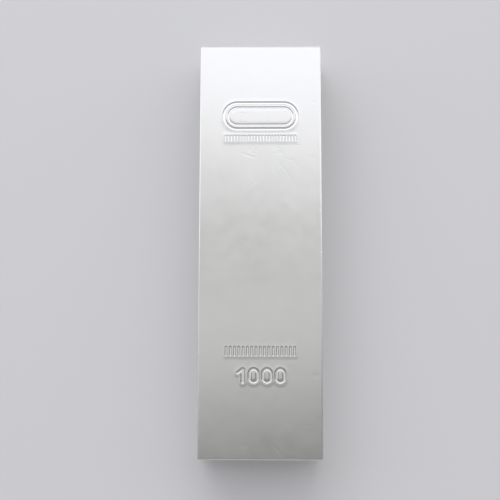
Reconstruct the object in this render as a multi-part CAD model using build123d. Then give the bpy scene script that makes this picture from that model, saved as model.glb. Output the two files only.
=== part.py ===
from build123d import *
import os

# A one-kilogram aluminium ingot: a sawn length of flat bar with every edge eased.
# Marks are pressed into its broad upper face: a blank oval cartouche with a fine reeded
# strip under it near the head end, and a bolder reeded strip near the foot end.
# The ingot lies on its back. X is its width, Y its length with the head end at +Y, and Z
# its thickness. The origin is the middle of the face that it rests on. Sizes are in mm.

# The bar: these three sizes give the one kilogram
bar_width = 60.0
bar_thickness = 30.6
bar_length = 202.0
long_edge_radius = 1.0
end_edge_radius = 0.8
aluminium_density = 0.00270  # grams per cubic millimetre

# How far the marks are pressed in, and how far their walls lean out
press_depth = 0.5
fine_press_depth = 0.35
wall_draft = 30.0

# The blank cartouche: a bold line with round ends and a thin line inside it
cartouche_from_head = 35.7
cartouche_length = 37.5
cartouche_height = 14.7
bold_line_width = 1.6
line_gap = 1.0
thin_line_width = 0.9

# The fine reeded strip, under the cartouche
fine_strip_gap = 2.0
fine_strip_length = 35.0
fine_strip_height = 3.4
fine_flute_width = 0.8
fine_flute_count = 25

# The bold reeded strip, near the foot end
bold_strip_from_foot = 51.3
bold_strip_length = 34.0
bold_strip_height = 5.0
bold_flute_width = 1.1
bold_flute_count = 17

# Places that follow from those sizes
cartouche_y = bar_length / 2 - cartouche_from_head
fine_strip_y = cartouche_y - cartouche_height / 2 - fine_strip_gap - fine_strip_height / 2
bold_strip_y = bold_strip_from_foot - bar_length / 2
pressed_face = Plane.XY.offset(bar_thickness)


def bar():
    """The plain bar: a rounded section drawn out along Y, with its sawn ends eased."""
    section = Plane.XZ * RectangleRounded(
        bar_width, bar_thickness, long_edge_radius, align=(Align.CENTER, Align.MIN)
    )
    blank = extrude(section, amount=bar_length / 2, both=True)
    foot_end, head_end = blank.faces().filter_by(Axis.Y).sort_by(Axis.Y)
    return fillet(foot_end.edges() + head_end.edges(), end_edge_radius)


def oval_line(length, height, line_width):
    """A closed line of one width that follows an oval with straight sides, from its outside."""
    outside = SlotOverall(length, height)
    inside = SlotOverall(length - 2 * line_width, height - 2 * line_width)
    return outside - inside


def cartouche_lines():
    """The two lines of the cartouche, each the same distance from the other all the way round."""
    inset = 2 * (bold_line_width + line_gap)
    bold_line = oval_line(cartouche_length, cartouche_height, bold_line_width)
    thin_line = oval_line(cartouche_length - inset, cartouche_height - inset, thin_line_width)
    return bold_line, thin_line


def reeded_strip(length, height, flute_width, flute_count):
    """A row of upright flutes with round ends, evenly spaced over the strip's length."""
    pitch = (length - flute_width) / (flute_count - 1)
    flute = SlotOverall(height, flute_width, rotation=90)
    return [place * flute for place in GridLocations(pitch, 0, flute_count, 1)]


def press(shapes, centre_y, depth):
    """The metal that a punch with leaning walls takes out of the upper face."""
    return [
        extrude(pressed_face * Pos(0, centre_y) * shape, amount=-depth, taper=wall_draft)
        for shape in shapes
    ]


def ingot():
    """The bar with its marks pressed in."""
    bold_line, thin_line = cartouche_lines()
    fine_strip = reeded_strip(fine_strip_length, fine_strip_height, fine_flute_width, fine_flute_count)
    bold_strip = reeded_strip(bold_strip_length, bold_strip_height, bold_flute_width, bold_flute_count)
    marks = (
        press([bold_line], cartouche_y, press_depth)
        + press([thin_line], cartouche_y, fine_press_depth)
        + press(fine_strip, fine_strip_y, fine_press_depth)
        + press(bold_strip, bold_strip_y, press_depth)
    )
    return bar() - marks


os.makedirs("parts", exist_ok=True)
finished = ingot()
export_step(finished, "parts/ingot.step")
print("mass in grams", round(finished.volume * aluminium_density, 1))
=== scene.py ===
"""The looks of a one-kilogram aluminium ingot, laid out as an add-on and run as a script.

The ingot is one piece: a sawn length of flat bar with satin faces, sawn ends and shallow
marks pressed into its upper face. The bar lies on its back, X is its width, Y its length
with the head end at +Y, and Z its thickness. Lengths are in metres.
"""

import math

import bpy
import numpy as np
from bpy.props import FloatProperty, FloatVectorProperty, IntProperty, PointerProperty
from bpy.types import NodeSocket, Operator, Panel, PropertyGroup
from mathutils.geometry import delaunay_2d_cdt
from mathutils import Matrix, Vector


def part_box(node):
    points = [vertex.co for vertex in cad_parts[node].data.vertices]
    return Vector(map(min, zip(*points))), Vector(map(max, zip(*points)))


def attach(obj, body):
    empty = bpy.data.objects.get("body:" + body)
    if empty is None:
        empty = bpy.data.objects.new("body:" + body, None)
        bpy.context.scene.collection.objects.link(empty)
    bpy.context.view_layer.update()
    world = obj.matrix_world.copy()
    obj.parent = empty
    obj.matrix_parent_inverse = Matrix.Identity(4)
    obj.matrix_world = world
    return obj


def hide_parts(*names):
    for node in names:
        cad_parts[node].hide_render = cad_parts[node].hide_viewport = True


bl_info = {
    "name": "Aluminium Ingot",
    "version": (1, 0, 0),
    "blender": (4, 5, 0),
    "location": "3D View > Sidebar > Ingot",
    "description": "Makes a pressed and sawn aluminium ingot and a plain studio round it",
    "category": "Add Mesh",
}

MM = 0.001
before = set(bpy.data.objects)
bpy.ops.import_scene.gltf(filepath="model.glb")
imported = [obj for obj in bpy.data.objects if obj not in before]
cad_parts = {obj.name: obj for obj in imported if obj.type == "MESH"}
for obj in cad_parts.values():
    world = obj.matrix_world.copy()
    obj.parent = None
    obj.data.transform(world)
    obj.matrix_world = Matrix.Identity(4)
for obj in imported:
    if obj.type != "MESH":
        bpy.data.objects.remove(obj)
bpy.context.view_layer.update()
ingot_low, ingot_high = (np.array(corner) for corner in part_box("ingot"))


# The marks on the pressed face. A place on the face is a complex number, x + iy, in metres.
# Each mark is a line of some width, and its distance is negative inside the line, 0 on its
# outline and grows outwards. Land counts as closed in from half the hull's breadth inside it.

HULL_BREADTH = 0.6 * MM


def box_distance(at, half_width, half_height, corner=0.0):
    """Distance from a rectangle about 0 whose corners are rounded.

    Each way, the place lies some way past the rectangle less its corner radius. The distance
    is the length of the positive ones of those two, plus the larger one where both are
    negative, less the corner radius.
    """
    past_x = np.abs(at.real) - (half_width - corner)
    past_y = np.abs(at.imag) - (half_height - corner)
    outside = np.hypot(np.maximum(past_x, 0.0), np.maximum(past_y, 0.0))
    inside = np.minimum(np.maximum(past_x, past_y), 0.0)
    return outside + inside - corner


def oval_distance(at, half_width, half_height):
    """Distance from an oval with straight sides: a rectangle that is as round as it can be."""
    return box_distance(at, half_width, half_height, min(half_width, half_height))


def stroke_distance(at, start, end):
    """Distance from the straight line from start to end: from the nearest of its points.

    That point lies at the share of the way along the line that the place has when it is
    projected on the line, held between 0 and 1.
    """
    way = end - start
    share = np.clip(((at - start) * np.conj(way)).real / abs(way) ** 2, 0.0, 1.0)
    return np.abs(at - start - share * way)


def nearest_in_row(at, pitch, count):
    """The place seen from the nearest of a row's even centres, which lie about 0 on the X axis."""
    last = (count - 1) / 2
    step = np.clip(np.round(at.real / pitch + last), 0, count - 1) - last
    return at - step * pitch


def row_centres(pitch, count):
    """The centres of that row."""
    return (np.arange(count) - (count - 1) / 2) * pitch


def one_corners(marks):
    """Foot and top of the stem of a one, and the tip of its flag, about the middle of its cell.

    The one is as wide as its flag reaches, and stands centred in its cell.
    """
    half = (marks.digit_height - marks.digit_stroke) / 2
    flag = -marks.flag_length * np.exp(1j * marks.flag_slope)
    stem = -flag.real / 2
    return stem - 1j * half, stem + 1j * half, stem + 1j * half + flag


def mark_places(marks):
    """Middles along Y of the cartouche, the fine strip, the bold strip and the weight."""
    cartouche = ingot_high[1] - marks.cartouche_from_head
    fine_strip = cartouche - (marks.cartouche_height + marks.fine_height) / 2 - marks.fine_gap
    bold_strip, weight = ingot_low[1] + np.array([marks.bold_from_foot, marks.weight_from_foot])
    return cartouche, fine_strip, bold_strip, weight


def cartouche_lines(marks):
    """Half width and half height of each line's middle, half its breadth, and its depth."""
    outside = np.array([marks.cartouche_length, marks.cartouche_height]) / 2
    inset = marks.bold_line + marks.line_gap
    return (
        (*(outside - marks.bold_line / 2), marks.bold_line / 2, marks.bold_line_depth),
        (*(outside - inset - marks.thin_line / 2), marks.thin_line / 2, marks.thin_line_depth),
    )


def strip_sizes(marks):
    """Length and height of the fine and the bold strip, and width, number and depth of flutes."""
    return (
        (marks.fine_length, marks.fine_height, marks.fine_flute, marks.fine_count, marks.fine_depth),
        (marks.bold_length, marks.bold_height, marks.bold_flute, marks.bold_count, marks.bold_depth),
    )


def reed_pitch(length, flute, count):
    """The pitch of a strip's flutes, the first and last of which end at the strip's ends."""
    return (length - flute) / (count - 1)


def marks_on_face(at, marks):
    """Each mark's distance, half its line's width, its depth, and the distance from its hull.

    The hull is the oval that goes through the middle of the mark's outermost line. Land
    inside it is closed in by the mark. A mark that closes nothing in is far from its hull.
    """
    cartouche_y, fine_y, bold_y, weight_y = mark_places(marks)
    open_land = np.full(at.shape, np.inf)
    near = at - 1j * cartouche_y
    hull = None
    for half_width, half_height, half_line, depth in cartouche_lines(marks):
        from_middle = oval_distance(near, half_width, half_height)
        hull = from_middle if hull is None else hull
        yield np.abs(from_middle) - half_line, half_line, depth, hull
    for middle, sizes in zip((fine_y, bold_y), strip_sizes(marks)):
        length, height, flute, count, depth = sizes
        near = at - 1j * middle
        in_cell = nearest_in_row(near, reed_pitch(length, flute, count), count)
        half_straight = (height - flute) / 2
        from_middle = stroke_distance(in_cell, -1j * half_straight, 1j * half_straight)
        yield from_middle - flute / 2, flute / 2, depth, open_land
    near = at - 1j * weight_y
    half_line = marks.digit_stroke / 2
    foot, top, tip = one_corners(marks)
    in_cell = near + marks.zeros / 2 * marks.digit_pitch
    from_middle = np.minimum(stroke_distance(in_cell, foot, top), stroke_distance(in_cell, top, tip))
    yield from_middle - half_line, half_line, marks.digit_depth, open_land
    in_cell = nearest_in_row(near - marks.digit_pitch / 2, marks.digit_pitch, marks.zeros)
    half_width, half_height = marks.digit_width / 2, marks.digit_height / 2
    hull = oval_distance(in_cell, half_width - half_line, half_height - half_line)
    yield np.abs(hull) - half_line, half_line, marks.digit_depth, hull


def smooth_step(share):
    """0 below 0, 1 above 1, and 3s^2 - 2s^3 between them."""
    share = np.clip(share, 0.0, 1.0)
    return share * share * (3.0 - 2.0 * share)


def pressed_relief(at, marks):
    """Height of the face, how far each place was pressed, and how near it is to a wall's middle.

    A line sinks over its leaning wall, with a round rim and foot, by a smooth step of the
    distance. A share of its depth, the crown, is a parabola from the outline to the line's
    middle, which hollows the floor. The land beside a line was dragged up. In the open it is
    a swell, a smooth step that falls to 0 over its reach. Where a mark closes it in, it is a
    pillow as high, which drops by a parabola towards the line. The last two answers are from
    0 to 1, and the last is also in proportion to the line's depth, with 1 for a digit's.
    """
    height = np.zeros(at.shape)
    pressed = np.zeros(at.shape)
    wall = np.zeros(at.shape)
    nearest = np.full(at.shape, np.inf)
    closed_in = np.zeros(at.shape)
    for distance, half_line, depth, hull in marks_on_face(at, marks):
        run = depth * math.tan(marks.draft) + 2 * marks.rim
        sunk = smooth_step((marks.rim - distance) / run)
        hollow = 1.0 - np.square(1.0 - np.clip(-distance / half_line, 0.0, 1.0))
        height = np.minimum(height, -depth * ((1.0 - marks.crown) * sunk + marks.crown * hollow))
        pressed = np.maximum(pressed, sunk)
        wall = np.maximum(wall, 4.0 * sunk * (1.0 - sunk) * depth / marks.digit_depth)
        nearest = np.minimum(nearest, np.maximum(distance, 0.0))
        closed_in = np.maximum(closed_in, smooth_step(0.5 - hull / HULL_BREADTH))
    swell = marks.swell_height * smooth_step(1.0 - nearest / marks.swell_reach)
    drop = marks.pillow_drop * np.square(1.0 - np.clip(nearest / marks.pillow_reach, 0.0, 1.0))
    pillow = marks.swell_height - drop
    land = swell + closed_in * (pillow - swell)
    return height + land * (1.0 - pressed), pressed, wall


# The mesh of the marks: rings of points that follow each outline at chosen distances. An oval
# has its inside rings, its steps round a quarter circle and its steps along a straight run.

LAND_RINGS = np.array([0.34, 0.24, 0.16]) * MM  # how far out on the land they lie
WALL_STEPS, FLOOR_STEPS = 8, 3
CARTOUCHE_STEPS = (np.array([0.85, 0.6, 0.3, 0.0]), 24, 32)
ZERO_STEPS = (np.array([0.6, 0.3, 0.0]), 12, 10)
ONE_END_STEPS, ONE_TOP_STEPS, ONE_RUN_STEPS = 16, 12, 12
REED_ARC_STEPS, REED_RUN_STEPS = 4, 7
REED_WIDENING = np.array([1.0, 0.45])  # shares of the way from a flute's rings to its box
REED_LAND = 0.35 * MM  # how far the box reaches past the flute's end
SAME_POINT = 1e-4 * MM  # points closer than this are one
TINY = 1e-9


def line_rings(half_line, depth, marks):
    """How far the rings on one side of a line lie from its middle, which itself is left out."""
    run = depth * math.tan(marks.draft) + 2 * marks.rim
    wall = marks.rim - run * np.linspace(0.0, 1.0, WALL_STEPS + 1)
    floor = np.linspace(wall[-1], -half_line, FLOOR_STEPS + 1)[1:-1]
    return half_line + np.concatenate([LAND_RINGS, wall, floor])


def oval_rays(half_straight, quarter, cells):
    """Feet and directions of rays that leave an oval's middle line, counterclockwise.

    Round the right end the rays turn from straight down to straight up about the end of the
    middle line, and then their feet run along it to its other end. The other half is the same
    turned round. Quarter holds the rays' turns within a quarter circle, in radians, and cells
    says how many steps the feet take along the straight.
    """
    turns = np.concatenate([-quarter[:0:-1], quarter])
    run = np.linspace(half_straight, -half_straight, cells + 1)[1:-1]
    feet = np.concatenate([np.full(len(turns), half_straight), run])
    directions = np.concatenate([np.exp(1j * turns), np.full(len(run), 1j)])
    feet, directions = (
        np.concatenate([half, -half, half[:1]])[:, None] for half in (feet, directions)
    )
    return feet, directions


def oval_grid(lines, half_straight, inside, arc_steps, run_steps, marks):
    """An oval mark as rings, from the land round it to the line down its middle.

    Each line is how far its own middle lies from that of the oval, half its breadth, and its
    depth. Inside holds the innermost rings as shares of the ring round them.
    """
    rings = []
    for from_middle, half_line, depth in lines:
        side = line_rings(half_line, depth, marks)
        rings.append(from_middle + np.concatenate([side, [0.0], -side[::-1]]))
    rings = np.concatenate([*rings, rings[-1][-1] * inside])
    quarter = np.linspace(0.0, math.pi / 2, arc_steps + 1)
    feet, directions = oval_rays(half_straight, quarter, run_steps)
    return feet + directions * rings


def cartouche_grid(marks):
    """The cartouche's rings."""
    lines = cartouche_lines(marks)
    half_straight = lines[0][0] - lines[0][1]
    return oval_grid([line[1:] for line in lines], half_straight, *CARTOUCHE_STEPS, marks)


def zero_grid(marks):
    """A zero's rings: an oval turned upright."""
    half_line = marks.digit_stroke / 2
    lines = [(marks.digit_width / 2 - half_line, half_line, marks.digit_depth)]
    half_straight = (marks.digit_height - marks.digit_width) / 2
    return 1j * oval_grid(lines, half_straight, *ZERO_STEPS, marks)


def one_grid(marks):
    """A one as rings about its stem and flag, counterclockwise from the left of its foot.

    Each ring is the offset of the two strokes: arcs round the foot, the top and the flag's
    tip, straight lines between them, and a sharp corner where the lines under the flag and
    beside the stem meet.
    """
    rings = np.append(line_rings(marks.digit_stroke / 2, marks.digit_depth, marks), 0.0)
    foot, top, tip = one_corners(marks)
    flag = np.angle(tip - top)
    normal = np.exp(1j * (flag - math.pi / 2))
    half_corner = (-math.pi / 2 - flag) / 2
    corner = top + rings * np.exp(1j * (flag + half_corner)) / math.sin(half_corner)
    share = np.linspace(0.0, 1.0, ONE_RUN_STEPS + 1)[:-1, None]

    def arc(centre, start, end, cells):
        return centre + rings * np.exp(1j * np.linspace(start, end, cells + 1)[:-1, None])

    return np.concatenate(
        [
            arc(foot, -math.pi, 0.0, ONE_END_STEPS),
            foot + rings + (top - foot) * share,
            arc(top, 0.0, np.angle(normal), ONE_TOP_STEPS),
            top + rings * normal + (tip - top) * share,
            arc(tip, np.angle(normal), np.angle(normal) + math.pi, ONE_END_STEPS),
            tip - rings * normal + (corner - tip + rings * normal) * share,
            corner + (foot - rings - corner) * share,
            (foot - rings)[None, :],
        ]
    )


def reed_cells(length, height, flute, count, depth, marks):
    """A strip's flutes, each as rings that widen on the land to fill a box of its own.

    The boxes stand side by side. A ray leaves its box where it meets the nearer of the two
    sides that it heads for, and one ray goes to each corner.
    """
    half_pitch = reed_pitch(length, flute, count) / 2
    half_straight = (height - flute) / 2
    half_box = height / 2 + REED_LAND
    corner = math.atan2(half_pitch, half_box - half_straight)
    to_corner = np.linspace(0, corner, REED_ARC_STEPS + 1)[:-1]
    from_corner = np.linspace(corner, math.pi / 2, REED_ARC_STEPS + 1)
    quarter = np.concatenate([to_corner, from_corner])
    feet, directions = oval_rays(half_straight, quarter, REED_RUN_STEPS)
    ahead = (half_box - half_straight) / np.maximum(np.abs(directions.real), TINY)
    aside = half_pitch / np.maximum(np.abs(directions.imag), TINY)
    edge = np.minimum(ahead, aside)
    rings = np.append(line_rings(flute / 2, depth, marks)[len(LAND_RINGS) :], 0.0)
    widening = rings[0] + (edge - rings[0]) * REED_WIDENING
    radii = np.concatenate([widening, np.broadcast_to(rings, (len(edge), len(rings)))], axis=1)
    cell = 1j * (feet + directions * radii)
    return row_centres(2 * half_pitch, count)[:, None, None] + cell


def strip_loop(cells):
    """The points round all boxes of a strip, counterclockwise about its middle."""
    edge = cells[:, :-1, 0].ravel()
    outer = edge[box_distance(edge, edge.real.max(), edge.imag.max()) > -SAME_POINT]
    outer = outer[np.argsort(np.angle(outer))]
    return outer[np.abs(outer - np.roll(outer, 1)) > SAME_POINT]


def grids_and_loops(marks):
    """The marks' grids, each with the loop of points round it: near the foot, near the head."""
    cartouche_y, fine_y, bold_y, weight_y = mark_places(marks)
    strips = [reed_cells(*sizes, marks) for sizes in strip_sizes(marks)]
    fine, bold = (
        (cells + 1j * middle, strip_loop(cells) + 1j * middle)
        for cells, middle in zip(strips, (fine_y, bold_y))
    )
    one, *zeros = row_centres(marks.digit_pitch, marks.zeros + 1) + 1j * weight_y
    digits = [one_grid(marks) + one] + [zero_grid(marks) + zero for zero in zeros]
    cartouche = cartouche_grid(marks) + 1j * cartouche_y
    foot = [bold] + [(digit, digit[:-1, 0]) for digit in digits]
    return foot, [(cartouche, cartouche[:-1, 0]), fine]


# The land round the marks: its points keep off the loops by this share of a cell, and those
# closer than this in millimetres are joined

LOOP_CLEARANCE = 0.6
JOIN_WITHIN = 1e-6


def inside_loop(at, loop):
    """Whether each place is inside a loop: then it sees the loop's points turn a full circle."""
    seen = loop - at[:, None]
    return np.abs(np.angle(np.roll(seen, -1, axis=1) / seen).sum(axis=1)) > math.pi


def land_triangles(first, second, loops, cell):
    """Triangles of the land in a window of the face, between its border and the marks' loops.

    The border's points are those of the bar's own lattice, first along X and second along
    Y, and even rows of points stand between the border and the loops. Blender's Delaunay
    function joins them all, and the triangles that it puts inside a loop are left out.
    """
    across = [first + 1j * level for level in second[[0, -1]]]
    border = np.concatenate(across + [level + 1j * second[1:-1] for level in first[[0, -1]]])
    rows = [
        np.linspace(line[0], line[-1], round((line[-1] - line[0]) / cell) + 1)[1:-1]
        for line in (first, second)
    ]
    land = (rows[0][:, None] + 1j * rows[1]).ravel()
    for loop in loops:
        land = land[np.abs(land[:, None] - loop).min(axis=1) > LOOP_CLEARANCE * cell]
        land = land[~inside_loop(land, loop)]
    points = np.concatenate([*loops, border, land])
    starts = np.cumsum([0] + [len(loop) for loop in loops])
    edges = [
        np.stack([start + np.arange(len(loop)), start + np.roll(np.arange(len(loop)), -1)], axis=1)
        for start, loop in zip(starts, loops)
    ]
    flat = np.stack([points.real, points.imag], axis=1) / MM
    made = delaunay_2d_cdt(flat.tolist(), np.concatenate(edges).tolist(), [], 0, JOIN_WITHIN)
    if len(made[0]) != len(points):
        raise RuntimeError("marks on the pressed face touch each other")
    faces = np.array(made[2])
    for start, loop in zip(starts, loops):
        own = np.flatnonzero(((faces >= start) & (faces < start + len(loop))).all(axis=1))
        within = inside_loop(points[faces[own]].mean(axis=1), loop)
        faces = np.delete(faces, own[within], axis=0)
    return points[faces]


# The bar: flat grids on the six sides of a box, whose points are then pulled onto the bar

EDGE_ANGLES = np.radians([0.0, 11.25, 22.5, 33.75, 45.0])
GUARD_GAP = 0.12 * MM  # from the rounding to the line just inside it
WAVES = {"count": 7, "seed": 4}
RIPPLES = {"count": 40, "seed": 9}
RIDGES = {"count": 5, "seed": 11}
RIDGES_START = 0.7  # how much of the outward direction is then along Y
WAVE_LENGTHS = (0.6, 1.6)  # shares of the usual length
NICK_SEED = 21
NICK_RADII, NICK_DEPTHS = (0.5, 1.0), (0.2, 1.0)  # shares of the largest and the deepest


def lattice_lines(low, high, radius, spacing, stops):
    """Places of the lattice's lines along one axis, in order.

    Within a radius of each end they lie at radius * tan(angle) for even angles up to 45
    degrees, so the rounding gets even facets. One more line just inside the rounding keeps
    the shading of the flat flat. Every stop gets a line, and the cells between stops are even
    and no longer than the spacing.
    """
    arc = radius * np.tan(EDGE_ANGLES)
    guard = radius + GUARD_GAP
    ends = [low + guard, *stops, high - guard]
    pieces = [low + radius - arc[::-1]]
    for start, end in zip(ends[:-1], ends[1:]):
        cells = math.ceil((end - start) / spacing)
        pieces.append(np.linspace(start, end, cells + 1)[:-1])
    pieces += [[ends[-1]], high - radius + arc]
    return np.concatenate(pieces)


def lines_between(lines, start, end):
    """The slice of the lines from start to end, which are lines themselves."""
    return slice(np.argmin(np.abs(lines - start)), np.argmin(np.abs(lines - end)) + 1)


def cell_corners(points):
    """The four corners of each cell of a grid, in order round the cell, for any number of grids.

    The grid's two axes are the last two of complex places, as a mark's grids have.
    """
    start, end = points[..., :-1, :], points[..., 1:, :]
    corners = (start[..., :-1], end[..., :-1], end[..., 1:], start[..., 1:])
    return np.stack(corners, axis=-1).reshape(-1, 4)


def on_side(places, axes, level):
    """Points of the box from complex places on one of its sides, by the side's two axes."""
    points = np.empty((*places.shape, 3))
    points[..., axes[0]] = places.real
    points[..., axes[1]] = places.imag
    points[..., 3 - axes[0] - axes[1]] = level
    return points


def welded(corner_sets):
    """Joins faces that are given as corner points: the distinct points, and faces as indices."""
    corners = np.concatenate([corners.reshape(-1, 3) for corners in corner_sets])
    keys = np.round(corners / SAME_POINT).astype(np.int64)
    _, kept, index = np.unique(keys, axis=0, return_index=True, return_inverse=True)
    ends = np.cumsum([corners.shape[0] * corners.shape[1] for corners in corner_sets])
    faces = [
        part.reshape(corners.shape[:2])
        for part, corners in zip(np.split(index.ravel(), ends[:-1]), corner_sets)
    ]
    return corners[kept], faces


def without_repeats(quads):
    """The quads whose corners all differ, and triangles from those with one corner twice."""
    repeated = quads == np.roll(quads, -1, axis=1)
    triangles = [np.delete(quads[repeated[:, corner]], corner, axis=1) for corner in range(4)]
    return quads[~repeated.any(axis=1)], np.concatenate(triangles)


def rounded_bar(points, low, high, radii):
    """Pulls points of a box onto the bar with rounded edges.

    The nearest point of a box that is smaller by the radii is the centre of the rounding.
    The point moves to that centre plus the radii times the unit vector of what is left
    over, measured in radii. Also gives that unit vector, which points out of the bar.
    """
    centres = np.clip(points, low + radii, high - radii)
    out = (points - centres) / radii
    out /= np.linalg.norm(out, axis=1, keepdims=True)
    return centres + radii * out, out


def crossing_waves(points, height, length, count, seed):
    """How far crossing waves dip into the faces, which are never quite flat, 0 to height.

    It is the mean of sines whose directions, lengths near the given one and phases are drawn
    at random, brought from the range -1 to 1 into the range 0 to height.
    """
    draw = np.random.default_rng(seed)
    directions = draw.normal(size=(points.shape[1], count))
    directions /= np.linalg.norm(directions, axis=0)
    rates = 2 * math.pi / (length * draw.uniform(*WAVE_LENGTHS, count))
    phases = draw.uniform(0, 2 * math.pi, count)
    return height * (0.5 + 0.5 * np.sin(points @ (directions * rates) + phases).mean(axis=1))


def saw_ridges(points, bar):
    """How far the saw's ridges dip: waves of the distance from the blade's centre, 0 to height.

    A share of Y is added to the distance, so the two ends differ.
    """
    across = points - np.array(bar.blade_centre)
    radius = np.hypot(across[:, 0], across[:, 2]) + bar.end_shift * points[:, 1]
    return crossing_waves(radius[:, None], bar.ridge_height, bar.ridge_pitch, **RIDGES)


def edge_nicks(points, bar):
    """How far small knocks have dented the edges: the deepest of depth * (1 - (d / r)^2)^2.

    For each knock, d is the distance from its centre, which lies on one of the twelve edges
    of the bar's box, and r is its radius. Edge, place, radius and depth are drawn at random,
    and a longer edge gets more of them.
    """
    draw = np.random.default_rng(NICK_SEED)
    size = ingot_high - ingot_low
    along = draw.choice(3, bar.nick_count, p=size / size.sum())
    corners = np.where(draw.integers(0, 2, (bar.nick_count, 3)), ingot_high, ingot_low)
    places = draw.uniform(ingot_low, ingot_high, (bar.nick_count, 3))
    centres = np.where(np.arange(3) == along[:, None], places, corners)
    radii = bar.nick_radius * draw.uniform(*NICK_RADII, bar.nick_count)
    depths = bar.nick_depth * draw.uniform(*NICK_DEPTHS, bar.nick_count)
    distance = np.linalg.norm(points[:, None] - centres, axis=2)
    return (depths * np.square(1 - np.square(np.minimum(distance / radii, 1)))).max(axis=1)


def upper_side(lines, bar, marks):
    """The pressed side: plain cells outside two windows, and in them the marks and their land.

    The answer is the quads and the triangles, each as complex corner places.
    """
    first, second = lines
    lattice = first[:, None] + 1j * second
    plain = np.ones((len(first) - 1, len(second) - 1), bool)
    quads, triangles = [], []
    for (start, end), made in zip(windows_along(marks), grids_and_loops(marks)):
        across = lines_between(first, -half_window(marks), half_window(marks))
        along = lines_between(second, start, end)
        plain[across.start : across.stop - 1, along.start : along.stop - 1] = False
        loops = [loop for _, loop in made]
        quads += [cell_corners(grid) for grid, _ in made]
        triangles.append(land_triangles(first[across], second[along], loops, bar.land_cell))
    quads.append(cell_corners(lattice)[plain.ravel()])
    return np.concatenate(quads), np.concatenate(triangles)


def half_window(marks):
    """Half the width of both windows: the widest mark and a margin."""
    return max(marks.cartouche_length, marks.fine_length, marks.bold_length) / 2 + marks.margin


def windows_along(marks):
    """Where the foot's and the head's window start and end along Y."""
    cartouche_y, fine_y, bold_y, weight_y = mark_places(marks)
    foot = (weight_y - marks.digit_height / 2, bold_y + marks.bold_height / 2)
    head = (fine_y - marks.fine_height / 2, cartouche_y + marks.cartouche_height / 2)
    return [(start - marks.margin, end + marks.margin) for start, end in (foot, head)]


def bar_mesh(bar, marks):
    """The whole bar as points, quads, triangles, the quads' sawn flags and its point masks."""
    radii = np.array([bar.long_radius, bar.end_radius, bar.rounding_height])
    low, high = ingot_low, ingot_high - np.array([0.0, 0.0, marks.swell_height])
    stops = ((-half_window(marks), half_window(marks)), np.ravel(windows_along(marks)), ())
    lines = [
        lattice_lines(low[axis], high[axis], radii[axis], bar.plain_cell[axis], stops[axis])
        for axis in range(3)
    ]
    upper, land = upper_side(lines[:2], bar, marks)
    back_and_long_sides = [((1, 0), low[2]), ((1, 2), high[0]), ((2, 1), low[0])]
    ends = [((2, 0), high[1]), ((0, 2), low[1])]
    sides = [
        on_side(cell_corners(lines[axes[0]][:, None] + 1j * lines[axes[1]]), axes, level)
        for axes, level in back_and_long_sides + ends
    ]
    tops = [on_side(corners, (0, 1), high[2]) for corners in (upper, land)]
    points, (upper, land, *others) = welded([*tops, *sides])
    upper, triangles = without_repeats(upper)
    quads = np.concatenate([upper, *others])
    sawn = np.arange(len(quads)) >= len(quads) - sum(len(end) for end in others[-len(ends) :])
    points, out = rounded_bar(points, low, high, radii)
    dips = crossing_waves(points, bar.wave_height, bar.wave_length, **WAVES)
    dips += crossing_waves(points, bar.ripple_height, bar.ripple_length, **RIPPLES)
    facing_end = smooth_step((np.abs(out[:, 1]) - RIDGES_START) / (1 - RIDGES_START))
    dips += facing_end * saw_ridges(points, bar)
    dips += edge_nicks(points, bar)
    points -= out * dips[:, None]
    on_top = out[:, 2] > 1 - TINY
    pressed = np.zeros(len(points))
    wall = np.zeros(len(points))
    places = points[on_top, 0] + 1j * points[on_top, 1]
    relief, pressed[on_top], wall[on_top] = pressed_relief(places, marks)
    points[on_top, 2] += relief
    edge = np.clip((1 - np.abs(out).max(axis=1)) / (1 - math.sqrt(0.5)), 0, 1)
    # The pressed and wall masks carry a painted highlight on the marks' floors and painted shade up
    # their walls
    masks = {"pressed": pressed, "wall": wall, "edge": edge, "drawn": smooth_step(1 - out[:, 2])}
    return points, quads, np.concatenate([triangles, land]), sawn, masks


# Nodes. A scale counts a texture's features in a metre, a cell is the size of a stretched
# feature, and a range is the part of a value that is carried to the range from 0 to 1.

NODE_SPACING = 190
FLOAT, VECTOR = "NodeSocketFloat", "NodeSocketVector"
TOOTH_SCALE = 2600.0
DRAWN_CELL = (1.6 * MM, 190 * MM, 1.6 * MM)
DRAWN_DEPTH = 12.0
CLOUD_SCALES = (45.0, 170.0)
SCRATCH_CELL = (1.5 * MM, 12 * MM, 1.5 * MM)
SCRATCH_TURNS_AND_PATCHES = ((0.5, 31.0), (-0.9, 47.0), (1.35, 23.0))
THIN_RANGE = (0.66, 0.78)
PATCH_RANGE = (0.52, 0.66)
DING_SCALE = 70.0
DING_RANGE = (0.16, 0.0)
WORN_SCALE = 420.0
WORN_RANGE = (0.35, 0.7)
NICK_SCALE = 300.0
NEAR_EDGE_RANGE = (0.1, 0.7)
SAW_TEETH_SCALE = 1100.0
SAW_PASSES_SCALE = 420.0
SAW_PATCH_SCALE = 120.0
SAW_PATCH_RANGE = (0.3, 0.7)
SAW_FAINTEST = 0.45


def feed(tree, socket, value):
    """Gives an input its value: a number, vector or colour, or another node's output."""
    if isinstance(value, NodeSocket):
        tree.links.new(value, socket)
    else:
        socket.default_value = value


def add(tree, kind, inputs=None, **settings):
    """A new node of that kind, with its settings made and then its inputs fed."""
    node = tree.nodes.new(kind)
    node.location = (len(tree.nodes) * NODE_SPACING, 0)
    for name, value in settings.items():
        setattr(node, name, value)
    for name, value in (inputs or {}).items():
        feed(tree, node.inputs[name], value)
    return node


def calc(tree, operation, *values, clamp=False):
    """The output of a Math node."""
    inputs = dict(enumerate(values))
    return add(tree, "ShaderNodeMath", inputs, operation=operation, use_clamp=clamp).outputs[0]


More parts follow.
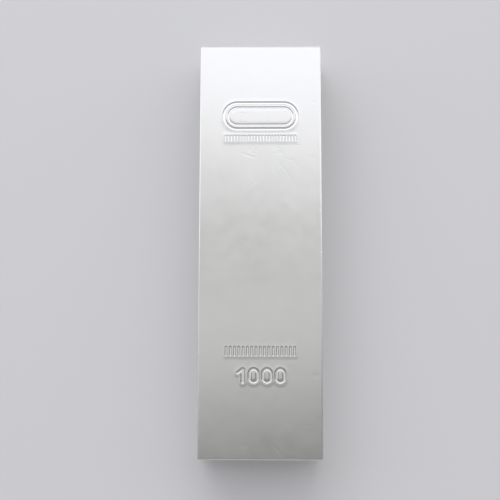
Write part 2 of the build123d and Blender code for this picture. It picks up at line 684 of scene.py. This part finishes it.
def with_parts(tree, value, *parts):
    """The value plus each part, which is a pair of a node's output and its factor."""
    for part, factor in parts:
        value = calc(tree, "MULTIPLY_ADD", part, factor, value)
    return value


def remap(tree, value, from_low, from_high, to_low=0.0):
    """The value carried smoothly from a range to the one from to_low to 1, and held at its ends."""
    inputs = {"Value": value, "From Min": from_low, "From Max": from_high, "To Min": to_low}
    node = add(tree, "ShaderNodeMapRange", inputs, interpolation_type="SMOOTHSTEP")
    return node.outputs["Result"]


def in_cells(tree, vector, cell, turn=0.0):
    """The vector counted in cells of that size in metres, which are turned about Z."""
    inputs = {"Vector": vector, "Rotation": (0.0, 0.0, turn), "Scale": cell}
    return add(tree, "ShaderNodeMapping", inputs, vector_type="TEXTURE").outputs["Vector"]


def noise(tree, vector, scale, detail=2.0, roughness=0.5):
    """The value of a Noise texture."""
    inputs = {"Vector": vector, "Scale": scale, "Detail": detail, "Roughness": roughness}
    return add(tree, "ShaderNodeTexNoise", inputs).outputs["Fac"]


def new_group(name, inputs):
    """An empty shader node group with those names and kinds of inputs, and what they give."""
    tree = bpy.data.node_groups.new(name, "ShaderNodeTree")
    for title, kind in inputs.items():
        tree.interface.new_socket(title, in_out="INPUT", socket_type=kind)
    return tree, add(tree, "NodeGroupInput").outputs


def close_group(tree, results):
    """Makes a group's outputs, which are all numbers, and gives the group."""
    for title in results:
        tree.interface.new_socket(title, in_out="OUTPUT", socket_type=FLOAT)
    add(tree, "NodeGroupOutput", results)
    return tree


def satin_grain_group():
    """Fine matt tooth, and lines drawn along the bar's length, whose tone is about 0."""
    inputs = {"Vector": VECTOR, "Tooth": FLOAT, "Drawn Lines": FLOAT}
    tree, given = new_group("Satin Grain", inputs)
    tooth = noise(tree, given["Vector"], TOOTH_SCALE, detail=3.0, roughness=0.6)
    in_lines = in_cells(tree, given["Vector"], DRAWN_CELL)
    lines = noise(tree, in_lines, 1.0, detail=4.0, roughness=0.65)
    drawn = calc(tree, "MULTIPLY", calc(tree, "SUBTRACT", lines, 0.5), given["Drawn Lines"])
    line_height = calc(tree, "MULTIPLY", drawn, DRAWN_DEPTH)
    height = calc(tree, "MULTIPLY_ADD", tooth, given["Tooth"], line_height)
    return close_group(tree, {"Height": height, "Tone": drawn})


def mottle_group():
    """Soft clouds in the finish, a few millimetres to a few centimetres across, about 0."""
    tree, given = new_group("Mottle", {"Vector": VECTOR})
    clouds = [(noise(tree, given["Vector"], scale), 0.5) for scale in CLOUD_SCALES]
    return close_group(tree, {"Tone": with_parts(tree, -0.5, *clouds)})


def handling_group():
    """Thin scratches of handling and small round dings, 1 in the deepest and 0 elsewhere."""
    tree, given = new_group("Handling Marks", {"Vector": VECTOR, "Amount": FLOAT})
    found = 0.0
    for turn, patch_scale in SCRATCH_TURNS_AND_PATCHES:
        along = in_cells(tree, given["Vector"], SCRATCH_CELL, turn)
        line = remap(tree, noise(tree, along, 1.0, detail=1.0), *THIN_RANGE)
        patch = noise(tree, given["Vector"], patch_scale, detail=1.0)
        layer = calc(tree, "MULTIPLY", line, remap(tree, patch, *PATCH_RANGE))
        found = calc(tree, "MAXIMUM", found, layer)
    scratches = calc(tree, "MULTIPLY", found, given["Amount"], clamp=True)
    spots = add(tree, "ShaderNodeTexVoronoi", {"Vector": given["Vector"], "Scale": DING_SCALE})
    dings = remap(tree, spots.outputs["Distance"], *DING_RANGE)
    dings = calc(tree, "MULTIPLY", dings, given["Amount"], clamp=True)
    return close_group(tree, {"Mask": scratches, "Dings": dings})


def edge_wear_group():
    """Where eased edges are rubbed bright or nicked: the edge mask broken up by noise."""
    tree, given = new_group("Edge Wear", {"Vector": VECTOR, "Edge": FLOAT})
    rubbed = noise(tree, given["Vector"], WORN_SCALE, detail=3.0, roughness=0.65)
    nicked = noise(tree, given["Vector"], NICK_SCALE, detail=1.0)
    near = remap(tree, given["Edge"], *NEAR_EDGE_RANGE)
    worn = calc(tree, "MULTIPLY", near, remap(tree, rubbed, *WORN_RANGE))
    nicks = calc(tree, "MULTIPLY", near, remap(tree, nicked, *THIN_RANGE))
    return close_group(tree, {"Mask": worn, "Nicks": nicks})


def saw_line_group():
    """Lines that a circular saw leaves on a cut end: arcs about a far centre, uneven in depth."""
    inputs = {"Vector": VECTOR, "Blade Centre": VECTOR, "End Shift": FLOAT}
    tree, given = new_group("Saw Lines", inputs)
    kind, flatten = "ShaderNodeVectorMath", (1.0, 0.0, 1.0)
    flat = add(tree, kind, {0: given["Vector"], 1: flatten}, operation="MULTIPLY").outputs[0]
    from_centre = add(tree, kind, {0: flat, 1: given["Blade Centre"]}, operation="DISTANCE")
    along = add(tree, "ShaderNodeSeparateXYZ", {0: given["Vector"]}).outputs["Y"]
    radius = calc(tree, "MULTIPLY_ADD", along, given["End Shift"], from_centre.outputs["Value"])
    ring = add(tree, "ShaderNodeCombineXYZ", {"X": radius}).outputs[0]
    teeth = noise(tree, ring, SAW_TEETH_SCALE, detail=4.0, roughness=0.75)
    passes = noise(tree, ring, SAW_PASSES_SCALE, detail=3.0, roughness=0.6)
    patches = noise(tree, given["Vector"], SAW_PATCH_SCALE)
    patches = remap(tree, patches, *SAW_PATCH_RANGE, SAW_FAINTEST)
    height = calc(tree, "MULTIPLY", calc(tree, "SUBTRACT", teeth, 0.5), patches)
    tone = calc(tree, "ADD", height, calc(tree, "SUBTRACT", passes, 0.5))
    return close_group(tree, {"Height": height, "Tone": tone})


def mix_colors(tree, share, first, second):
    """The first colour turned into the second by the share. Either may be a node's output."""
    node = add(tree, "ShaderNodeMix", {0: share}, data_type="RGBA")
    for socket, color in zip(node.inputs[6:8], (first, second)):
        feed(tree, socket, color if isinstance(color, NodeSocket) else (*color, 1.0))
    return node.outputs[2]


# How much each effect adds to the bump's height, to the roughness and to the tone

SCRATCH_HEIGHT, DING_HEIGHT, NICK_HEIGHT, SAW_HEIGHT = -6.0, -10.0, -16.0, 18.0
LINE_ROUGHNESS, WEAR_ROUGHNESS, SAW_ROUGHNESS = 0.3, -0.06, 0.3
LINE_TONE, WEAR_TONE, SAW_TONE = 1.2, 0.5, 1.5
SAWN_TOOTH = 0.6


def metal_material(name, finish, groups, bar, sawn):
    """Bare aluminium: its satin faces, or its sawn end with the saw's lines in it.

    A face is dull with soft clouds, and bright where its edges are rubbed. The floors of its
    marks get a painted highlight, a brighter colour, and their walls painted shade, a darker colour.
    The sides and the back have drawn lines.
    """
    material = bpy.data.materials.new(name)
    material.use_nodes = True
    tree = material.node_tree
    shader = tree.nodes["Principled BSDF"]
    here = add(tree, "ShaderNodeTexCoord").outputs["Object"]
    edge, pressed, wall, drawn = (
        add(tree, "ShaderNodeAttribute", attribute_name=mask).outputs["Fac"]
        for mask in ("edge", "pressed", "wall", "drawn")
    )

    def placed(group, **inputs):
        inputs["Vector"] = here
        named = {title.replace("_", " "): value for title, value in inputs.items()}
        return add(tree, "ShaderNodeGroup", named, node_tree=groups[group]).outputs

    lines = 0.0 if sawn else calc(tree, "MULTIPLY", drawn, finish.drawn_lines)
    grain = placed("grain", Tooth=SAWN_TOOTH if sawn else 1.0, Drawn_Lines=lines)
    mottle = placed("mottle")["Tone"]
    handled = placed("handling", Amount=finish.scratches)
    wear = placed("wear", Edge=edge)
    line, worn, nicks = grain["Tone"], wear["Mask"], wear["Nicks"]
    scratches, dings = handled["Mask"], handled["Dings"]
    height = [(scratches, SCRATCH_HEIGHT), (dings, DING_HEIGHT), (nicks, NICK_HEIGHT)]
    rough = [(mottle, finish.mottle), (line, LINE_ROUGHNESS), (worn, WEAR_ROUGHNESS)]
    tone = [(mottle, finish.clouds), (line, LINE_TONE), (worn, WEAR_TONE)]
    if sawn:
        saw = placed("saw", Blade_Centre=bar.blade_centre, End_Shift=bar.end_shift)
        height.append((saw["Height"], SAW_HEIGHT))
        rough.append((saw["Tone"], SAW_ROUGHNESS))
        tone.append((saw["Tone"], SAW_TONE))
    # The pressed mask adds a painted highlight: the floors of the marks are coloured up to the
    # bright metal
    tone = calc(tree, "ADD", with_parts(tree, finish.usual_tone, *tone), pressed, clamp=True)
    color = mix_colors(tree, tone, finish.dull, finish.bright)
    height = with_parts(tree, grain["Height"], *height)
    bump = add(tree, "ShaderNodeBump", {"Height": height, "Distance": finish.tooth, "Strength": 1.0})
    usual_roughness = finish.sawn_roughness if sawn else finish.roughness
    shader.inputs["Metallic"].default_value = 1.0
    # Painted shade: the wall mask mixes the colour towards a darker one up the walls of the marks
    feed(tree, shader.inputs["Base Color"], mix_colors(tree, wall, color, finish.painted_wall_shade))
    feed(tree, shader.inputs["Roughness"], with_parts(tree, usual_roughness, *rough))
    feed(tree, shader.inputs["Normal"], bump.outputs["Normal"])
    return material


# What a user would change


def size_prop(name, description, millimetres):
    """A length, whose default is given in millimetres."""
    return FloatProperty(name=name, description=description, default=millimetres * MM, unit="LENGTH")


def place_prop(name, description, *millimetres):
    """Three lengths along X, Y and Z, whose defaults are given in millimetres."""
    default = tuple(part * MM for part in millimetres)
    return FloatVectorProperty(
        name=name, description=description, default=default, subtype="XYZ_LENGTH"
    )


def angle_prop(name, description, degrees):
    """An angle, whose default is given in degrees."""
    default = math.radians(degrees)
    return FloatProperty(name=name, description=description, default=default, subtype="ANGLE")


def share_prop(name, description, default):
    """A share, or a level where 1 is plain white."""
    return FloatProperty(name=name, description=description, default=default, subtype="FACTOR")


def color_prop(name, description, *default):
    """A colour."""
    return FloatVectorProperty(name=name, description=description, default=default, subtype="COLOR")


class BarShape(PropertyGroup):
    """The bar's own form, apart from its three sizes, which come from the frame."""

    long_radius: size_prop("Long edge radius", "Rounding of the long edges", 1.0)
    end_radius: size_prop("End edge radius", "Rounding of the sawn ends", 1.1)
    rounding_height: size_prop("Rounding height", "How far down the roundings reach", 0.6)
    wave_height: size_prop("Wave height", "How far the faces dip", 0.05)
    wave_length: size_prop("Wave length", "Usual length of the faces' waves", 45)
    ripple_height: size_prop("Ripple height", "How far smaller ripples dip", 0.03)
    ripple_length: size_prop("Ripple length", "Usual length of those ripples", 9)
    blade_centre: place_prop("Blade centre", "Of the saw that cut the ends", 110, 0, -90)
    end_shift: share_prop("End shift", "Share of Y that tells the ends' saw lines apart", 0.1)
    ridge_height: size_prop("Ridge height", "Height of the saw's ridges", 0.04)
    ridge_pitch: size_prop("Ridge pitch", "Usual distance between them", 2.0)
    nick_count: IntProperty(name="Nicks", description="Knocks on the edges", default=40, min=1)
    nick_radius: size_prop("Nick radius", "Of the largest knock", 1.5)
    nick_depth: size_prop("Nick depth", "Of the deepest knock", 0.06)
    plain_cell: place_prop("Plain cell", "Longest mesh cells away from the marks", 0.8, 1.25, 0.8)
    land_cell: size_prop("Land cell", "Usual mesh cell on the land round the marks", 0.7)


class PressedMarks(PropertyGroup):
    """The marks in the upper face and how they were pressed."""

    draft: angle_prop("Draft", "How far a wall leans out", 30)
    rim: size_prop("Rim", "Rounding of a mark's rim and foot", 0.10)
    crown: share_prop("Crown", "Share of the depth that hollows the floor", 0.38)
    swell_height: size_prop("Swell height", "How far pushed-up metal stands", 0.05)
    swell_reach: size_prop("Swell reach", "How far from a mark the metal is raised", 1.5)
    pillow_drop: size_prop("Pillow drop", "How far closed-in land drops at its rim", 0.04)
    pillow_reach: size_prop("Pillow reach", "How far in from its rim it drops", 1.2)
    margin: size_prop("Margin", "Finely meshed land round the marks", 2.0)
    cartouche_from_head: size_prop("Cartouche place", "From the head end to its middle", 35.7)
    cartouche_length: size_prop("Cartouche length", "Outside, across the bar", 37.5)
    cartouche_height: size_prop("Cartouche height", "Outside, along the bar", 14.7)
    bold_line: size_prop("Bold line", "Width of the outer line", 1.6)
    bold_line_depth: size_prop("Bold line depth", "How far the outer line sinks", 0.26)
    line_gap: size_prop("Line gap", "Between the outer and inner line", 1.0)
    thin_line: size_prop("Thin line", "Width of the inner line", 0.9)
    thin_line_depth: size_prop("Thin line depth", "How far the inner line sinks", 0.17)
    fine_gap: size_prop("Fine gap", "Between the cartouche and the fine strip", 2.0)
    fine_length: size_prop("Fine length", "Length of the fine strip", 35.0)
    fine_height: size_prop("Fine height", "Height of its flutes", 3.4)
    fine_flute: size_prop("Fine flute", "Width of its flutes", 0.8)
    fine_count: IntProperty(name="Fine flutes", description="How many", default=25, min=2)
    fine_depth: size_prop("Fine depth", "How far they sink", 0.25)
    bold_from_foot: size_prop("Bold strip place", "From the foot end to its middle", 51.3)
    bold_length: size_prop("Bold length", "Length of the bold strip", 34.0)
    bold_height: size_prop("Bold height", "Height of its flutes", 5.0)
    bold_flute: size_prop("Bold flute", "Width of its flutes", 1.1)
    bold_count: IntProperty(name="Bold flutes", description="How many", default=17, min=2)
    bold_depth: size_prop("Bold depth", "How far they sink", 0.4)
    weight_from_foot: size_prop("Weight place", "From the foot end to its middle", 39.7)
    zeros: IntProperty(name="Zeros", description="Zeros after the weight's one", default=3, min=1)
    digit_height: size_prop("Digit height", "Height of the weight", 8.1)
    digit_width: size_prop("Digit width", "Width of a zero", 5.6)
    digit_pitch: size_prop("Digit pitch", "From one digit to the next", 6.4)
    digit_stroke: size_prop("Digit stroke", "Width of a digit's line", 1.9)
    digit_depth: size_prop("Digit depth", "How far the digits sink", 0.5)
    flag_length: size_prop("Flag length", "Of the one's flag, along its middle", 2.9)
    flag_slope: angle_prop("Flag slope", "How far the flag falls", 38)


class MetalFinish(PropertyGroup):
    """The bare metal's finish."""

    dull: color_prop("Dull metal", "Where the finish is dullest", 0.78, 0.78, 0.764)
    # Bright metal is real wear on rubbed edges, and also a painted highlight on the floors of the
    # marks
    bright: color_prop("Bright metal", "Where it is rubbed bright, and painted highlight on floors of marks", 0.95, 0.95, 0.935)
    # A darker colour, painted up the walls of the marks as shade
    painted_wall_shade: color_prop("Painted wall shade", "Darker colour painted up the walls of marks as shade", 0.44, 0.44, 0.43)
    roughness: share_prop("Roughness", "Of the satin faces", 0.22)
    sawn_roughness: share_prop("Sawn roughness", "Of the sawn ends", 0.38)
    usual_tone: share_prop("Usual tone", "From dull to bright on a plain face", 0.12)
    clouds: share_prop("Clouds", "How much the tone clouds", 0.6)
    mottle: share_prop("Mottle", "How much the roughness clouds", 0.08)
    drawn_lines: share_prop("Drawn lines", "Strength of the lines along the sides", 1.0)
    scratches: share_prop("Scratches", "How deep the scratches are", 0.42)
    tooth: size_prop("Tooth", "Height of the matt tooth", 0.004)


class StudioSetup(PropertyGroup):
    """The floor, the soft light round the ingot and the camera over it."""

    floor_color: color_prop("Floor", "Colour of the plain floor", 0.72, 0.72, 0.735)
    sky_front: share_prop("Front sky", "Light from above the foot end", 0.41)
    sky_gap: share_prop("Sky gap", "Light from the dim gap before the strip light", 0.18)
    sky_strip: share_prop("Strip light", "Light from a soft strip straight above", 0.87)
    sky_overhead: share_prop("Overhead sky", "Light from behind that strip", 0.56)
    sky_back: share_prop("Back sky", "Light from above the head end", 1.33)
    sky_far: share_prop("Far sky", "Light from lower beyond the head end", 1.0)
    sky_horizon: share_prop("Horizon sky", "Light from low all round", 0.49)
    back_tint: color_prop("Back tint", "Cool tint of the back sky", 0.975, 0.985, 1.14)
    sky_turn: angle_prop("Sky turn", "To the left, as seen from above", 3)
    sky_fan: share_prop("Sky fan", "How much faster the levels follow each other to the right", 0.75)
    sky_spread: share_prop("Sky spread", "How much faster they do so far out to the side", 0.3)
    lamp_power: FloatProperty(
        name="Lamp power",
        description="Of the soft lamp, which the metal doesn't mirror",
        default=6.5,
        unit="POWER",
    )
    lamp_place: place_prop("Lamp place", "From the origin", -180, 1150, 850)
    camera_place: place_prop("Camera place", "From the middle of the face", 2.5, -48.7, 438.9)
    camera_turn: FloatVectorProperty(
        name="Camera turn",
        description="From looking straight down",
        default=(math.radians(6.21), math.radians(0.97), math.radians(0.12)),
        subtype="EULER",
    )
    camera_lens: FloatProperty(
        name="Lens", description="Focal length on a 36 mm sensor", default=65.65, unit="CAMERA"
    )


# What makes the pieces


def new_object(name, data):
    """An object for that mesh, lamp or camera, in the scene's own collection."""
    made = bpy.data.objects.new(name, data)
    bpy.context.scene.collection.objects.link(made)
    return made


class INGOT_OT_bar(Operator):
    """Make the ingot: one closed mesh with its marks, in two finishes of the same metal"""

    bl_idname = "ingot.bar"
    bl_label = "Make the Ingot"

    def execute(self, context):
        scene = context.scene
        points, quads, triangles, sawn, masks = bar_mesh(scene.ingot_bar, scene.ingot_marks)
        mesh = bpy.data.meshes.new("ingot_bar")
        mesh.from_pydata(points.tolist(), [], quads.tolist() + triangles.tolist())
        indices = np.concatenate([sawn, np.zeros(len(triangles), bool)]).astype(np.int32)
        mesh.polygons.foreach_set("material_index", indices)
        mesh.shade_smooth()
        for name, values in masks.items():
            mesh.attributes.new(name, "FLOAT", "POINT").data.foreach_set("value", values)
        if mesh.validate() or 2 * len(mesh.edges) != len(mesh.loops):
            raise RuntimeError("the ingot's mesh has bad faces or isn't closed")
        groups = {
            "grain": satin_grain_group(),
            "mottle": mottle_group(),
            "handling": handling_group(),
            "wear": edge_wear_group(),
            "saw": saw_line_group(),
        }
        for name, is_sawn in (("satin_aluminium", False), ("sawn_aluminium", True)):
            material = metal_material(name, scene.ingot_finish, groups, scene.ingot_bar, is_sawn)
            mesh.materials.append(material)
        bar = new_object("ingot_bar", mesh)
        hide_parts("ingot")
        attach(bar, "root")
        return {"FINISHED"}


# The sky. Its levels fan out up to this X of a direction, to either side, and spread further
# from one X to another, for which the left counts less. Between two values of Z they give
# way to the horizon's level. The tint is strongest at this angle, in degrees.

FAN_REACH = 0.2
SPREAD_RANGE = (0.15, 0.5)
LEFT_SHARE = 0.35
LOW_RANGE = (0.30, 0.05)
TINTED = 24


def studio_sky(studio):
    """A plain soft sky: bright above the head end, dimmer overhead, with a strip light above.

    Its level follows the angle from straight up towards the head end, turned a little to the
    left. The angle is then stretched to the right, by 1 plus the fan times the direction's X,
    and once more far out to a side. Low all round the sky is one level.
    """
    world = bpy.data.worlds.new("studio_sky")
    world.use_nodes = True
    tree = world.node_tree
    direction = add(tree, "ShaderNodeTexCoord").outputs["Generated"]
    split = add(tree, "ShaderNodeSeparateXYZ", {0: direction}).outputs
    right, ahead, up = (split[axis] for axis in "XYZ")
    angle = calc(tree, "ARCTAN2", with_parts(tree, ahead, (right, -math.sin(studio.sky_turn))), up)
    held = add(tree, "ShaderNodeClamp", {"Value": right, "Min": -FAN_REACH, "Max": FAN_REACH})
    aside = calc(tree, "MAXIMUM", right, calc(tree, "MULTIPLY", right, -LEFT_SHARE))
    aside = remap(tree, aside, *SPREAD_RANGE)
    for stretch in ((held.outputs[0], studio.sky_fan), (aside, studio.sky_spread)):
        angle = calc(tree, "MULTIPLY", angle, with_parts(tree, 1.0, stretch))
    ramp = add(tree, "ShaderNodeValToRGB", {"Fac": with_parts(tree, 0.5, (angle, 1 / math.pi))})
    ramp.color_ramp.interpolation = "EASE"
    levels = {
        -22: studio.sky_front,
        -13: studio.sky_gap,
        -7: studio.sky_gap,
        1: studio.sky_strip,
        4: studio.sky_overhead,
        10: studio.sky_overhead,
        13: studio.sky_back,
        TINTED: studio.sky_back,
        34: studio.sky_far,
    }
    elements = ramp.color_ramp.elements
    while len(elements) < len(levels):
        elements.new(0.5)
    for element, (degrees, level) in zip(elements, levels.items()):
        tint = studio.back_tint if degrees == TINTED else (1.0, 1.0, 1.0)
        element.position = 0.5 + degrees / 180
        element.color = (*(level * part for part in tint), 1.0)
    low = remap(tree, up, *LOW_RANGE)
    level = mix_colors(tree, low, ramp.outputs["Color"], (studio.sky_horizon,) * 3)
    feed(tree, tree.nodes["Background"].inputs["Color"], level)
    return world


FLOOR_REACH = 30.0
FLOOR_ROUGHNESS, FLOOR_SPECULAR = 0.9, 0.2
LAMP_SIZE = (1.4, 0.8)
NEAREST_SEEN = 10 * MM


class INGOT_OT_stage(Operator):
    """Make the plain floor, the soft light and the camera that looks down on the ingot"""

    bl_idname = "ingot.stage"
    bl_label = "Make the Stage"

    def execute(self, context):
        scene = context.scene
        studio = scene.ingot_studio
        signs = ((-1, -1), (1, -1), (1, 1), (-1, 1))
        corners = [(x * FLOOR_REACH, y * FLOOR_REACH, 0.0) for x, y in signs]
        mesh = bpy.data.meshes.new("floor")
        mesh.from_pydata(corners, [], [(0, 1, 2, 3)])
        material = bpy.data.materials.new("pale_floor")
        material.use_nodes = True
        shader = material.node_tree.nodes["Principled BSDF"]
        shader.inputs["Base Color"].default_value = (*studio.floor_color, 1.0)
        shader.inputs["Roughness"].default_value = FLOOR_ROUGHNESS
        shader.inputs["Specular IOR Level"].default_value = FLOOR_SPECULAR
        mesh.materials.append(material)
        new_object("floor", mesh)
        scene.world = studio_sky(studio)
        lamp = bpy.data.lights.new("soft_lamp", "AREA")
        lamp.shape = "RECTANGLE"
        lamp.size, lamp.size_y = LAMP_SIZE
        lamp.energy = studio.lamp_power
        lamp_object = new_object("soft_lamp", lamp)
        lamp_object.location = studio.lamp_place
        lamp_object.rotation_euler = (-lamp_object.location).to_track_quat("-Z", "Y").to_euler()
        lamp_object.visible_glossy = False
        camera = bpy.data.cameras.new("camera")
        camera.lens = studio.camera_lens
        camera.clip_start = NEAREST_SEEN
        camera_object = new_object("camera", camera)
        face_middle = np.array([0.0, 0.0, ingot_high[2]])
        camera_object.location = face_middle + np.array(studio.camera_place)
        camera_object.rotation_euler = studio.camera_turn
        scene.camera = camera_object
        scene.view_settings.view_transform = "Standard"
        return {"FINISHED"}


class INGOT_PT_panel(Panel):
    """The ingot's sizes, colours and makers"""

    bl_idname = "INGOT_PT_panel"
    bl_label = "Aluminium Ingot"
    bl_space_type = "VIEW_3D"
    bl_region_type = "UI"
    bl_category = "Ingot"

    def draw(self, context):
        for place in SETTINGS:
            group = getattr(context.scene, place)
            box = self.layout.box()
            box.label(text=place.replace("_", " ").capitalize())
            for name in group.__annotations__:
                box.prop(group, name)
        for operator in (INGOT_OT_bar, INGOT_OT_stage):
            self.layout.operator(operator.bl_idname)


SETTINGS = {
    "ingot_bar": BarShape,
    "ingot_marks": PressedMarks,
    "ingot_finish": MetalFinish,
    "ingot_studio": StudioSetup,
}
CLASSES = (*SETTINGS.values(), INGOT_OT_bar, INGOT_OT_stage, INGOT_PT_panel)


def register():
    """Adds the classes, and keeps the settings on the scene."""
    for cls in CLASSES:
        bpy.utils.register_class(cls)
    for place, group in SETTINGS.items():
        setattr(bpy.types.Scene, place, PointerProperty(type=group))


def unregister():
    """Takes the settings and the classes away again."""
    for place in SETTINGS:
        delattr(bpy.types.Scene, place)
    for cls in reversed(CLASSES):
        bpy.utils.unregister_class(cls)


def main():
    """Registers the classes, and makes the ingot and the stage."""
    register()
    bpy.ops.ingot.bar()
    bpy.ops.ingot.stage()


if __name__ == "__main__":
    main()
